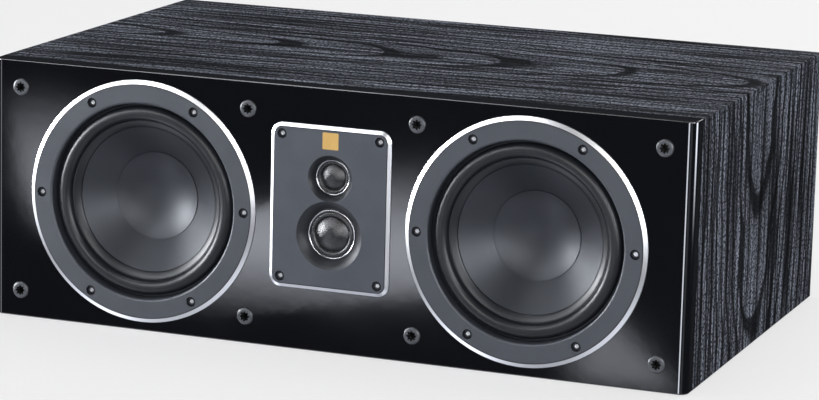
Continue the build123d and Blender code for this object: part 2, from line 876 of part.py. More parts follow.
# Terminal cup: flange, dish and a boss for each post
cup_floor = cup_rear - cup_depth
post_places = (("negative", -post_spacing / 2), ("positive", post_spacing / 2))
with BuildPart() as terminal_cup:
    with BuildSketch(rear_plane(0, terminal_z, cup_rear)):
        RectangleRounded(cup_width, cup_height, cup_corner_radius)
    extrude(amount=-cup_flange_thickness)
    chamfer(terminal_cup.faces().sort_by(Axis.Y)[-1].edges(), length=0.8)
    with BuildSketch(rear_plane(0, terminal_z, cup_rear - cup_flange_thickness)):
        RectangleRounded(
            cup_mouth_width + 2 * cup_wall,
            cup_mouth_height + 2 * cup_wall,
            cup_mouth_radius + cup_wall,
        )
    extrude(amount=-(cup_depth - cup_flange_thickness + cup_wall))
    with BuildSketch(rear_plane(0, terminal_z, cup_rear)):
        RectangleRounded(cup_mouth_width, cup_mouth_height, cup_mouth_radius)
    extrude(amount=-cup_depth, mode=Mode.SUBTRACT)
    for name, centre_x in post_places:
        with BuildSketch(rear_plane(centre_x, terminal_z, cup_floor)):
            Circle(boss_radius)
        extrude(amount=boss_height)
        with Locations(rear_plane(centre_x, terminal_z, cup_floor + boss_height)):
            Hole(post_radius + thread_clearance, depth=boss_height + cup_wall)
    with Locations([rear_plane(x, z, cup_rear) for x, z in cup_screw_places]):
        Hole(cup_screw_shank_radius + screw_clearance, depth=cup_flange_thickness)
save(terminal_cup, "terminal_cup")

with BuildPart() as cup_gasket:
    with BuildSketch(rear_plane(0, terminal_z, panel_back)):
        RectangleRounded(
            cup_width - 2 * cup_gasket_inset,
            cup_height - 2 * cup_gasket_inset,
            cup_corner_radius - cup_gasket_inset,
        )
        RectangleRounded(
            cup_mouth_width + 2 * (cup_wall + cup_clearance),
            cup_mouth_height + 2 * (cup_wall + cup_clearance),
            cup_mouth_radius + cup_wall + cup_clearance,
            mode=Mode.SUBTRACT,
        )
        with GridLocations(2 * cup_screw_x, 2 * cup_screw_z, 2, 2):
            Circle(cup_screw_shank_radius + screw_clearance, mode=Mode.SUBTRACT)
    extrude(amount=cup_gasket_thickness)
save(cup_gasket, "terminal_gasket")

with BuildPart() as cup_screw:
    with BuildSketch():
        Circle(cup_screw_head_radius)
    extrude(amount=cup_screw_head_height)
    fillet(cup_screw.edges().group_by(Axis.Z)[-1], radius=0.9)
    with BuildSketch(Plane.XY.offset(cup_screw_head_height)):
        Rectangle(cup_screw_head_radius * 1.2, cup_screw_cross)
        Rectangle(cup_screw_cross, cup_screw_head_radius * 1.2)
    extrude(amount=-cup_screw_cross, mode=Mode.SUBTRACT)
    with BuildSketch():
        Circle(cup_screw_shank_radius)
    extrude(amount=-cup_screw_length)

with BuildPart() as cup_screws:
    with Locations([rear_plane(x, z, cup_rear) for x, z in cup_screw_places]):
        add(cup_screw.part)
save(cup_screws, "terminal_screws")

# Binding posts: bored stud, clamp washer and a knurled cap nut that screws along it
boss_top = cup_floor + boss_height
cap_base = boss_top + washer_thickness
cap_end = cap_base + cap_nut_length
post_start = cup_floor - cup_wall - post_tail
for name, centre_x in post_places:
    with BuildPart() as post:
        with BuildSketch(rear_plane(centre_x, terminal_z, post_start)):
            Circle(post_radius)
        extrude(amount=cap_end - post_recess - post_start)
        with Locations(rear_plane(centre_x, terminal_z, cap_end - post_recess)):
            Hole(post_bore_radius, depth=post_bore_depth)
        wire_hole_y = front_y + boss_top + post_wire_hole_height
        with BuildSketch(Plane(origin=(centre_x, wire_hole_y, terminal_z), z_dir=(0, 0, 1))):
            Circle(post_wire_hole_radius)
        extrude(amount=post_radius + 1, both=True, mode=Mode.SUBTRACT)
    save(post, f"{name}_post")

    with BuildPart() as washer:
        with BuildSketch(rear_plane(centre_x, terminal_z, boss_top)):
            Circle(washer_radius)
            Circle(post_radius + thread_clearance, mode=Mode.SUBTRACT)
        extrude(amount=washer_thickness)
    save(washer, f"{name}_washer")

    with BuildPart() as cap_nut:
        with BuildSketch(rear_plane(centre_x, terminal_z, cap_base)):
            Circle(cap_nut_radius)
        extrude(amount=cap_nut_length)
        chamfer(cap_nut.edges().filter_by(GeomType.CIRCLE), length=cap_nut_edge)
        with BuildSketch(rear_plane(centre_x, terminal_z, cap_base)):
            with PolarLocations(cap_nut_radius, cap_nut_groove_count):
                Circle(cap_nut_groove_radius)
        extrude(amount=cap_nut_length, mode=Mode.SUBTRACT)
        with Locations(rear_plane(centre_x, terminal_z, cap_end)):
            Hole(post_radius + thread_clearance, depth=cap_nut_length)
    save(cap_nut, f"{name}_cap")

with BuildPart() as post_nuts:
    for name, centre_x in post_places:
        with BuildSketch(front_plane(centre_x, terminal_z, cup_floor - cup_wall)):
            RegularPolygon(hex_nut_across / 2, 6, major_radius=False)
            Circle(post_radius + thread_clearance, mode=Mode.SUBTRACT)
        extrude(amount=hex_nut_thickness)
save(post_nuts, "post_nuts")

# Crossover on the cabinet floor between the braces
board_base = wall_thickness + standoff_height
board_top = board_base + board_thickness
board_centre = (0, front_y + board_depth)
with BuildPart() as standoffs:
    with BuildSketch(Plane.XY.offset(wall_thickness)):
        with Locations(board_centre):
            with GridLocations(board_width - 2 * standoff_inset, board_length - 2 * standoff_inset, 2, 2):
                Circle(standoff_radius)
    extrude(amount=standoff_height)
save(standoffs, "crossover_standoffs")

with BuildPart() as board:
    with BuildSketch(Plane.XY.offset(board_base)):
        with Locations(board_centre):
            Rectangle(board_width, board_length)
    extrude(amount=board_thickness)
save(board, "crossover_board")

half_board = board_width / 4
with BuildPart() as coils:
    with BuildSketch(Plane.XY.offset(board_top)):
        with Locations((0, front_y + board_depth - board_length * 0.3)):
            with GridLocations(2 * half_board, 0, 2, 1):
                Circle(coil_radius)
                Circle(coil_bore_radius, mode=Mode.SUBTRACT)
    extrude(amount=coil_height)
save(coils, "crossover_coils")

with BuildPart() as capacitors:
    for step in (0.02, 0.19):
        capacitor_y = front_y + board_depth + board_length * step
        for start_x in (-half_board, half_board):
            capacitor_plane = Plane(
                origin=(start_x - capacitor_length / 2, capacitor_y, board_top + capacitor_radius),
                x_dir=(0, 1, 0),
                z_dir=(1, 0, 0),
            )
            with BuildSketch(capacitor_plane):
                Circle(capacitor_radius)
            extrude(amount=capacitor_length)
save(capacitors, "crossover_capacitors")

with BuildPart() as resistors:
    with BuildSketch(Plane.XY.offset(board_top)):
        with Locations((0, front_y + board_depth + board_length * 0.36)):
            with GridLocations(2 * half_board, 0, 2, 1):
                Rectangle(resistor_length, resistor_side)
    extrude(amount=resistor_side)
save(resistors, "crossover_resistors")

# Damping wool lies between each woofer and its port
wool_start = brace_x + brace_thickness / 2 + wool_gap
wool_width = inner_width / 2 - wool_gap - wool_start
wool_height = inner_height - wool_headroom
for side, sign in (("left", -1), ("right", 1)):
    with BuildPart() as wool:
        with BuildSketch(Plane.XY.offset(wall_thickness)):
            with Locations((sign * (wool_start + wool_width / 2), front_y + wool_depth + wool_thickness / 2)):
                RectangleRounded(wool_width, wool_thickness, wool_edge)
        extrude(amount=wool_height)
    save(wool, f"{side}_wool")
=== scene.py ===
import json
import math

import bpy
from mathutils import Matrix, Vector


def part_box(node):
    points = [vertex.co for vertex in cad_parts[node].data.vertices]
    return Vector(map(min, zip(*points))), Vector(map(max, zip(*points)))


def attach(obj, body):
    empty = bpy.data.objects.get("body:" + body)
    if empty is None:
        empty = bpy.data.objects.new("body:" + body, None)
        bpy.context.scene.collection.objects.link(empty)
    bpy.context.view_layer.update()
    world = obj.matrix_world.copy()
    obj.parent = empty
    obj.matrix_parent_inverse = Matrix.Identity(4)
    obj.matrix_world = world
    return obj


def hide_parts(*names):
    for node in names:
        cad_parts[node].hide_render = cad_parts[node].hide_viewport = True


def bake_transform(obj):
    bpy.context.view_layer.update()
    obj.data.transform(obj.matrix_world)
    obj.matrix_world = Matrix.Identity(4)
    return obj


# Looks of a centre channel loudspeaker. Metres, the baffle faces -Y, depths count back from its face.
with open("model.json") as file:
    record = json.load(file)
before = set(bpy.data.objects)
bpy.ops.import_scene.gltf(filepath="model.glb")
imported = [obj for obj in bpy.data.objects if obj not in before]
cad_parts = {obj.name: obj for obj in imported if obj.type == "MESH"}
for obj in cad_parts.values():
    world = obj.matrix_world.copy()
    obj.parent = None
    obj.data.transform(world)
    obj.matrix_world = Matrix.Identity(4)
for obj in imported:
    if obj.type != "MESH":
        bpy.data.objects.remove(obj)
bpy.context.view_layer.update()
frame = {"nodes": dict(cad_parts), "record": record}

MM = 0.001
BAFFLE_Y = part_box("front_baffle")[0].y
WALL_BACK_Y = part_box("cabinet_wrap")[1].y
SCREW_HEAD_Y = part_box("left_woofer_screws")[0].y
CABINET_W = 0.530
CABINET_H = 0.190
WOOFER_X = 0.1456
WOOFER_Z = 0.095
FLANGE_R = 0.0885
FLANGE_BEVEL = 0.0033
PLATE_Z = 0.104
PLATE_HALF_W = 0.0455
PLATE_HALF_H = 0.0592
PLATE_CORNER = 0.0085
PLATE_BEVEL = 0.0029
PLATE_FACE_Y = BAFFLE_Y - 0.002
LOWER_HORN_Z = 0.085
UPPER_HORN_Z = 0.126
HORN_MOUTHS = ((LOWER_HORN_Z, 0.0249), (UPPER_HORN_Z, 0.0168))

# Shared by several finishes: the bright part of a bevel, the painted shade of the groove beside it, and
# spans of a shade
BRIGHT_SHARE = 0.86
BRIGHT_ROUGH = 0.30
CUT_SOFT = 0.0001
# Painted shade: near-black for the unmodelled groove beside a bevel
GROOVE_PAINTED_SHADE = (0.006, 0.006, 0.007)
MID_TONES = (0.25, 0.75)
WIDE_TONES = (0.2, 0.8)

# The photograph's camera, solved on sockets, screws and cabinet edges
CAMERA_AT = (0.90507, -2.38280, 0.60895)
CAMERA_TURN = (1.36607, -0.02503, 0.36964)
CAMERA_LENS = 153.0
CAMERA_SENSOR = 36.0


# Node helpers

def fill(tree, socket, value):
    """Links a socket to another one, or gives it a plain value."""
    if isinstance(value, bpy.types.NodeSocket):
        tree.links.new(value, socket)
    else:
        socket.default_value = value


def put(tree, kind, inputs=None, **settings):
    """Adds a node, sets its options, then fills its inputs."""
    made = tree.nodes.new(kind)
    for key, value in settings.items():
        setattr(made, key, value)
    for key, value in (inputs or {}).items():
        fill(tree, made.inputs[key], value)
    return made


def calc(tree, operation, a, b=0.0, c=0.0):
    """One step of arithmetic."""
    return put(tree, "ShaderNodeMath", {0: a, 1: b, 2: c}, operation=operation).outputs[0]


def times(tree, first, *others):
    """Product of two or more values."""
    for other in others:
        first = calc(tree, "MULTIPLY", first, other)
    return first


def stack(tree, base, *parts):
    """Adds parts to a base, each a value and its weight."""
    for value, weight in parts:
        base = calc(tree, "MULTIPLY_ADD", value, weight, base)
    return base


def reach(tree, across, rise):
    """Distance of a point that lies so far across and so far up."""
    return calc(tree, "SQRT", calc(tree, "MULTIPLY_ADD", across, across, times(tree, rise, rise)))


def ripple(tree, value, pitch):
    """A sine wave along a value."""
    return calc(tree, "SINE", times(tree, value, 2 * math.pi / pitch))


def left_by(tree, mask):
    """What a mask leaves over."""
    return calc(tree, "SUBTRACT", 1.0, mask)


def fade(tree, value, low, high, to_low=0.0, to_high=1.0):
    """Maps a value smoothly from one span to another, held at both ends."""
    spans = {"From Min": low, "From Max": high, "To Min": to_low, "To Max": to_high}
    made = put(tree, "ShaderNodeMapRange", {"Value": value, **spans}, interpolation_type="SMOOTHSTEP")
    return made.outputs["Result"]


def drop(tree, value, start, gone):
    """Fades from full to nothing."""
    return fade(tree, value, start, gone, 1.0, 0.0)


def band(tree, value, start, full, end, gone):
    """Fades in, holds, and fades out again."""
    return times(tree, fade(tree, value, start, full), drop(tree, value, end, gone))


def weigh(tree, share, first, second):
    """Mixes two plain values by a share."""
    return put(tree, "ShaderNodeMix", {0: share, 2: first, 3: second}).outputs[0]


def tint(tree, share, first, second):
    """Mixes two colours, or colour sockets, by a share."""
    made = put(tree, "ShaderNodeMix", {0: share}, data_type="RGBA")
    for index, colour in ((6, first), (7, second)):
        fill(tree, made.inputs[index], (*colour, 1.0) if isinstance(colour, tuple) else colour)
    return made.outputs[2]


def noise(tree, vector, scale, detail, rough=0.5, warp=0.0):
    made = put(
        tree,
        "ShaderNodeTexNoise",
        {"Vector": vector, "Scale": scale, "Detail": detail, "Roughness": rough, "Distortion": warp},
    )
    return made.outputs["Fac"]


def place(tree):
    """The point on the piece, in the object's frame."""
    return put(tree, "ShaderNodeTexCoord").outputs["Object"]


def axes(tree):
    """The same point as its X, Y and Z."""
    return put(tree, "ShaderNodeSeparateXYZ", {0: place(tree)}).outputs


def join(tree, x, y, z=0.0):
    return put(tree, "ShaderNodeCombineXYZ", {0: x, 1: y, 2: z}).outputs[0]


def new_group(name, inputs, outputs):
    """An empty shader group with float inputs and named outputs."""
    tree = bpy.data.node_groups.new(name, "ShaderNodeTree")
    for label, value in inputs.items():
        socket = tree.interface.new_socket(label, in_out="INPUT", socket_type="NodeSocketFloat")
        socket.default_value = value
    for label in outputs:
        tree.interface.new_socket(label, in_out="OUTPUT", socket_type="NodeSocketFloat")
    return tree, tree.nodes.new("NodeGroupInput").outputs, tree.nodes.new("NodeGroupOutput").inputs


def use(tree, group, **inputs):
    """Places a shared effect in a material, with its own values."""
    return put(tree, "ShaderNodeGroup", inputs, node_tree=group).outputs


def socket_label(key):
    """The shader's label for a keyword, such as Base Color for base_color."""
    return key.replace("_", " ").title().replace("Ior", "IOR")


def new_finish(name, **values):
    """A material with plain values on its shader."""
    made = bpy.data.materials.new(name)
    made.use_nodes = True
    shader = made.node_tree.nodes["Principled BSDF"]
    for key, value in values.items():
        shader.inputs[socket_label(key)].default_value = (*value, 1.0) if isinstance(value, tuple) else value
    return made, made.node_tree, shader


def drive(tree, shader, **links):
    """Links sockets to the shader's inputs."""
    for key, socket in links.items():
        tree.links.new(socket, shader.inputs[socket_label(key)])


def polish(tree, shader, shade, rough, tones=MID_TONES):
    """Lets the roughness wander between two values with a shade."""
    drive(tree, shader, roughness=fade(tree, shade, *tones, *rough))


def emboss(tree, shader, height, distance, strength):
    """Feeds a height through a bump node to the shader's normal."""
    made = put(tree, "ShaderNodeBump", {"Height": height, "Strength": strength, "Distance": distance})
    tree.links.new(made.outputs["Normal"], shader.inputs["Normal"])


# Shared effects

def speckle_group():
    """Fine even speckle of moulded plastic, cast metal and paint."""
    tree, given, out = new_group("fine_speckle", {"Size": 0.001}, ("Shade", "Height"))
    spot = place(tree)
    scale = calc(tree, "DIVIDE", 1.0, given["Size"])
    fine = noise(tree, spot, scale, detail=3.0, rough=0.6)
    broad = noise(tree, spot, times(tree, scale, 0.04), detail=2.0)
    tree.links.new(stack(tree, times(tree, broad, 0.4), (fine, 0.6)), out["Shade"])
    tree.links.new(fine, out["Height"])
    return tree


def woofer_axis_group():
    """Distance and direction from the nearer woofer's axis."""
    tree, _, out = new_group("from_woofer_axis", {}, ("Radius", "Turn"))
    at = axes(tree)
    side = calc(tree, "SUBTRACT", calc(tree, "ABSOLUTE", at["X"]), WOOFER_X)
    rise = calc(tree, "SUBTRACT", at["Z"], WOOFER_Z)
    tree.links.new(reach(tree, side, rise), out["Radius"])
    tree.links.new(calc(tree, "ARCTAN2", rise, side), out["Turn"])
    return tree


def plate_edge_group():
    """Distance inside the rounded outline of the tweeter plate."""
    tree, _, out = new_group("plate_edge", {}, ("Inside",))
    at = axes(tree)
    across = calc(tree, "SUBTRACT", calc(tree, "ABSOLUTE", at["X"]), PLATE_HALF_W - PLATE_CORNER)
    rise = calc(tree, "ABSOLUTE", calc(tree, "SUBTRACT", at["Z"], PLATE_Z))
    rise = calc(tree, "SUBTRACT", rise, PLATE_HALF_H - PLATE_CORNER)
    corner = reach(tree, calc(tree, "MAXIMUM", across, 0.0), calc(tree, "MAXIMUM", rise, 0.0))
    flat = calc(tree, "MINIMUM", calc(tree, "MAXIMUM", across, rise), 0.0)
    inside = calc(tree, "SUBTRACT", PLATE_CORNER, calc(tree, "ADD", corner, flat))
    tree.links.new(inside, out["Inside"])
    return tree


def ash_group():
    """Open ash figure: narrow growth rings that close into long lenses, broken by short open pores."""
    tree, given, out = new_group("ash_figure", {"Along": 0.0, "Across": 0.0}, ("Tone", "Height"))
    along, across = given["Along"], given["Across"]
    rings_per_metre = 110.0

    def grain(side, stretch, width, layer, detail=2.0, rough=0.5):
        """Noise drawn out along the board, each kind on a layer of its own."""
        spot = join(tree, times(tree, along, stretch), times(tree, side, width), layer)
        return noise(tree, spot, 1.0, detail, rough)

    def swing(stretch, width, layer):
        """Grain that swings to both sides of nought."""
        return calc(tree, "SUBTRACT", grain(across, stretch, width, layer), 0.5)

    sway = swing(5.0, 14.0, 0.0)
    waver = swing(30.0, 70.0, 4.0)
    ragged = swing(190.0, 240.0, 6.0)
    swell = swing(13.0, 9.0, 7.0)
    bent = stack(tree, across, (ragged, 0.0018), (waver, 0.0030), (sway, 0.018))
    heart = stack(tree, 0.066, (swell, 0.016), (along, 0.10))
    year = calc(tree, "FRACT", times(tree, reach(tree, bent, heart), rings_per_metre))
    open_line = band(tree, year, 0.0, 0.06, 0.22, 0.42)
    lines = grain(bent, 4.0, 170.0, 0.0, rough=0.6)
    threads = grain(bent, 9.0, 420.0, 5.0)
    speck = grain(bent, 520.0, 360.0, 3.0, detail=1.0)
    pores = grain(bent, 170.0, 1300.0, 9.0, rough=0.6)
    broad = grain(bent, 4.0, 46.0, 2.0)
    # Each layer with the noise at which it is darkest and palest, and the least tone that it leaves
    layers = (
        (lines, 0.41, 0.53, 0.10),
        (threads, 0.38, 0.56, 0.30),
        (speck, 0.37, 0.62, 0.12),
        (pores, 0.32, 0.58, 0.5),
        (broad, 0.36, 0.60, 0.45),
    )
    tone = stack(tree, 1.0, (open_line, -0.90))
    for layer, dark, pale, least in layers:
        tone = times(tree, tone, fade(tree, layer, dark, pale, least, 1.0))
    tree.links.new(tone, out["Tone"])
    tree.links.new(stack(tree, tone, (open_line, -0.4)), out["Height"])
    return tree


speckle = speckle_group()
woofer_axis = woofer_axis_group()
plate_edge = plate_edge_group()
ash_figure = ash_group()


# Finishes

def lacquer_finish():
    """Black piano lacquer: deep base, very smooth, a trace of orange peel."""
    made, tree, shader = new_finish("gloss_black_lacquer", base_color=(0.0036, 0.0040, 0.0058), IOR=1.8)
    spot = place(tree)
    haze = noise(tree, spot, scale=7.0, detail=3.0)
    polish(tree, shader, haze, (0.022, 0.045), (0.3, 0.7))
    peel = noise(tree, spot, scale=90.0, detail=2.0)
    emboss(tree, shader, peel, 0.00002, 0.2)
    return made


def veneer_finish(name, dark, pale, folded):
    """Embossed black ash foil. Folded, its figure runs across the top and on down both sides."""
    made, tree, shader = new_finish(name, specular_ior_level=0.04)
    at = axes(tree)
    if folded:
        side_face = CABINET_W / 2 - 0.0006
        on_side = calc(tree, "GREATER_THAN", calc(tree, "ABSOLUTE", at["X"]), side_face)
        down = times(tree, calc(tree, "SUBTRACT", CABINET_H, at["Z"]), on_side)
        along = calc(tree, "MULTIPLY_ADD", down, calc(tree, "SIGN", at["X"]), at["X"])
        across = at["Y"]
    else:
        along, across = at["X"], at["Z"]
    grain = use(tree, ash_figure, Along=along, Across=across)
    foil = tint(tree, grain["Tone"], dark, pale)
    if folded:
        painted_end = fade(tree, at["Y"], WALL_BACK_Y - 0.0008, WALL_BACK_Y - 0.0005)
        foil = tint(tree, painted_end, foil, (0.010, 0.0105, 0.012))
    drive(tree, shader, base_color=foil)
    polish(tree, shader, grain["Tone"], (0.70, 0.54), (0.0, 0.8))
    emboss(tree, shader, grain["Height"], 0.0003, 0.6)
    return made


def flange_finish():
    """Satin cast flange with a turned bright bevel and a fine groove inside it, its line painted near-black
    as shade.
    """
    made, tree, shader = new_finish("satin_flange_bright_bevel")
    radius = use(tree, woofer_axis)["Radius"]
    grit = use(tree, speckle, Size=0.0011)
    cut = FLANGE_R - FLANGE_BEVEL * BRIGHT_SHARE
    bright = fade(tree, radius, cut - CUT_SOFT, cut + CUT_SOFT)
    # Painted shade: the groove is not modelled, its line is painted near-black
    groove = band(tree, radius, cut - 0.0009, cut - 0.0006, cut - CUT_SOFT, cut + CUT_SOFT)
    face = tint(tree, grit["Shade"], (0.0345, 0.0405, 0.0522), (0.065, 0.073, 0.0915))
    face = tint(tree, groove, face, GROOVE_PAINTED_SHADE)
    drive(tree, shader, base_color=tint(tree, bright, face, (0.62, 0.62, 0.63)), metallic=bright)
    face_rough = fade(tree, grit["Shade"], *WIDE_TONES, 0.36, 0.5)
    drive(tree, shader, roughness=weigh(tree, bright, face_rough, BRIGHT_ROUGH))
    emboss(tree, shader, times(tree, grit["Height"], left_by(tree, bright)), 0.00008, 0.5)
    return made


def plate_finish():
    """Fine textured satin plate with smooth horns darkened by painted shade, a bright cut edge and a fine
    groove inside it painted near-black as shade.
    """
    made, tree, shader = new_finish("satin_plate_bright_edge", IOR=1.33)
    inside = use(tree, plate_edge)["Inside"]
    grit = use(tree, speckle, Size=0.0008)
    cut = PLATE_BEVEL * BRIGHT_SHARE
    bright = drop(tree, inside, cut - CUT_SOFT, cut + CUT_SOFT)
    # Painted shade: the groove is not modelled, its line is painted near-black
    groove = band(tree, inside, cut, cut + 0.0001, cut + 0.0004, cut + 0.0007)
    at = axes(tree)
    mouth_soft = 0.0004
    horn_shade_and_gloss = 0.0
    for axis_z, mouth in HORN_MOUTHS:
        from_axis = reach(tree, at["X"], calc(tree, "SUBTRACT", at["Z"], axis_z))
        horn_shade_and_gloss = calc(tree, "MAXIMUM", horn_shade_and_gloss, drop(tree, from_axis, mouth - mouth_soft, mouth))
    face = tint(tree, grit["Shade"], (0.0545, 0.0615, 0.077), (0.113, 0.1245, 0.1505))
    # Painted shade: the horns take a darker colour than the face; their smoother gloss is the finish's own
    face = tint(tree, horn_shade_and_gloss, face, (0.019, 0.021, 0.026))
    face = tint(tree, groove, face, GROOVE_PAINTED_SHADE)
    drive(tree, shader, base_color=tint(tree, bright, face, (0.62, 0.62, 0.64)), metallic=bright)
    face_rough = fade(tree, grit["Shade"], *WIDE_TONES, 0.38, 0.52)
    dish_rough = weigh(tree, horn_shade_and_gloss, face_rough, 0.42)
    drive(tree, shader, roughness=weigh(tree, bright, dish_rough, BRIGHT_ROUGH))
    flat = left_by(tree, calc(tree, "MAXIMUM", bright, horn_shade_and_gloss))
    emboss(tree, shader, times(tree, grit["Height"], flat), 0.0001, 0.6)
    return made


def turned_lines(tree, ring, closeness, breaks, detail):
    """Noise drawn out into fine lines round a woofer's axis."""
    spot = join(tree, times(tree, ring["Radius"], closeness), times(tree, ring["Turn"], breaks))
    return noise(tree, spot, 1.0, detail)


def cone_finish():
    """Satin coated metal cone: dark blue grey with very fine turned lines."""
    made, tree, shader = new_finish("satin_cone", metallic=0.25)
    lines = turned_lines(tree, use(tree, woofer_axis), closeness=5200.0, breaks=2.0, detail=2.0)
    grit = use(tree, speckle, Size=0.0009)
    coat = tint(tree, grit["Shade"], (0.0122, 0.0143, 0.0198), (0.0208, 0.0248, 0.0330))
    drive(tree, shader, base_color=coat)
    polish(tree, shader, lines, (0.39, 0.49))
    emboss(tree, shader, lines, 0.00002, 0.3)
    return made


def rubber_finish():
    """Butyl rubber of the half-roll: deep black grey with a soft sheen and faint moulding rings."""
    made, tree, shader = new_finish("surround_rubber", IOR=1.38)
    rings = turned_lines(tree, use(tree, woofer_axis), closeness=1500.0, breaks=1.0, detail=1.0)
    grit = use(tree, speckle, Size=0.0013)
    skin = tint(tree, grit["Shade"], (0.0078, 0.0089, 0.0116), (0.0142, 0.0161, 0.0206))
    drive(tree, shader, base_color=skin)
    polish(tree, shader, grit["Shade"], (0.31, 0.39))
    emboss(tree, shader, stack(tree, grit["Height"], (rings, 0.5)), 0.000015, 0.3)
    return made


def plain_finish(name, dark, pale, rough, size=0.001, depth=0.00006, **values):
    """A moulded, cast or coated surface: two close tones, speckled gloss and a fine bump."""
    made, tree, shader = new_finish(name, **values)
    grit = use(tree, speckle, Size=size)
    drive(tree, shader, base_color=tint(tree, fade(tree, grit["Shade"], *MID_TONES), dark, pale))
    polish(tree, shader, grit["Shade"], rough)
    emboss(tree, shader, grit["Height"], depth, 0.5)
    return made


def socket_finish():
    """Grey moulded rim over a black rubber insert. The near-black below the face is partly the insert's own
    colour, partly painted shade in the bore and a painted contact shadow round the rim's foot.
    """
    made, tree, shader = new_finish("socket_plastic")
    grit = use(tree, speckle, Size=0.001)
    # Painted shade and contact shadow, with the black insert: near-black deeper than half a millimetre below
    # the face
    grip_and_painted_shade = fade(tree, axes(tree)["Y"], BAFFLE_Y - 0.0010, BAFFLE_Y - 0.0005)
    rim = tint(tree, grit["Shade"], (0.048, 0.052, 0.061), (0.086, 0.092, 0.106))
    drive(tree, shader, base_color=tint(tree, grip_and_painted_shade, rim, (0.003, 0.003, 0.0035)))
    polish(tree, shader, grit["Shade"], (0.30, 0.42))
    emboss(tree, shader, grit["Height"], 0.00002, 0.5)
    return made


def screw_finish():
    """Black oxide head. On the front the floor of its hex socket is painted bright steel grey, a painted
    glint.
    """
    made, tree, shader = new_finish("black_oxide", metallic=0.5)
    grit = use(tree, speckle, Size=0.0007)
    depth = axes(tree)["Y"]
    # Painted highlight: a front screw's socket floor takes a bright colour that stands for a glint
    floor = fade(tree, depth, SCREW_HEAD_Y + 0.0012, SCREW_HEAD_Y + 0.0014)
    floor = times(tree, floor, calc(tree, "LESS_THAN", depth, 0.0))
    head = tint(tree, grit["Shade"], (0.020, 0.021, 0.0235), (0.042, 0.044, 0.049))
    drive(tree, shader, base_color=tint(tree, floor, head, (0.80, 0.81, 0.84)))
    polish(tree, shader, grit["Shade"], (0.14, 0.22))
    emboss(tree, shader, grit["Height"], 0.000004, 0.5)
    return made


def weave_finish(name, dark, pale, pitch, rough, sheen=0.15, **values):
    """Thin woven cloth under a coat: crossing threads at a pitch."""
    made, tree, shader = new_finish(name, sheen_weight=sheen, sheen_roughness=0.4, **values)
    at = axes(tree)
    crossing = times(tree, ripple(tree, at["X"], pitch), ripple(tree, at["Z"], pitch))
    cloth = fade(tree, crossing, -1.0, 1.0)
    grit = use(tree, speckle, Size=pitch * 2)
    drive(tree, shader, base_color=tint(tree, times(tree, cloth, grit["Shade"]), dark, pale))
    polish(tree, shader, grit["Shade"], rough, WIDE_TONES)
    emboss(tree, shader, cloth, pitch * 0.12, 0.5)
    return made


def wool_finish():
    """Matted fibre: pale, rough, with strands in every direction."""
    made, tree, shader = new_finish("fibre_wool", roughness=0.95, sheen_weight=0.3)
    spot = place(tree)
    strands = noise(tree, spot, scale=700.0, detail=6.0, rough=0.75, warp=2.5)
    clumps = noise(tree, spot, scale=45.0, detail=3.0)
    tone = stack(tree, times(tree, clumps, 0.4), (strands, 0.6))
    drive(tree, shader, base_color=tint(tree, tone, (0.45, 0.45, 0.43), (0.86, 0.86, 0.83)))
    emboss(tree, shader, tone, 0.002, 0.8)
    return made


def board_finish():
    """Raw fibreboard: warm brown with fine chips."""
    made, tree, shader = new_finish("raw_fibreboard", roughness=0.8)
    chips = noise(tree, place(tree), scale=900.0, detail=5.0, rough=0.7)
    drive(tree, shader, base_color=tint(tree, chips, (0.22, 0.14, 0.075), (0.46, 0.33, 0.20)))
    emboss(tree, shader, chips, 0.0002, 0.4)
    return made


def metal_finish(name, dark, pale, rough):
    """Machined or plated metal with fine random scratches."""
    made, tree, shader = new_finish(name, metallic=1.0)
    fineness = (300.0, 2400.0, 2400.0)
    drawn_out = put(tree, "ShaderNodeMapping", {"Vector": place(tree), "Scale": fineness}).outputs[0]
    scratch = noise(tree, drawn_out, 1.0, detail=3.0, rough=0.6)
    drive(tree, shader, base_color=tint(tree, scratch, dark, pale))
    polish(tree, shader, scratch, rough)
    emboss(tree, shader, scratch, 0.00001, 0.3)
    return made


def wire_finish():
    """Enamelled copper windings: close turns along the coil."""
    made, tree, shader = new_finish("enamelled_copper", metallic=0.9)
    wire = 0.0011
    at = axes(tree)
    turns = fade(tree, ripple(tree, calc(tree, "ADD", at["Z"], at["Y"]), wire), -1.0, 1.0)
    drive(tree, shader, base_color=tint(tree, turns, (0.22, 0.075, 0.03), (0.72, 0.33, 0.16)))
    polish(tree, shader, turns, (0.45, 0.25), (0.0, 1.0))
    emboss(tree, shader, turns, 0.0002, 0.6)
    return made


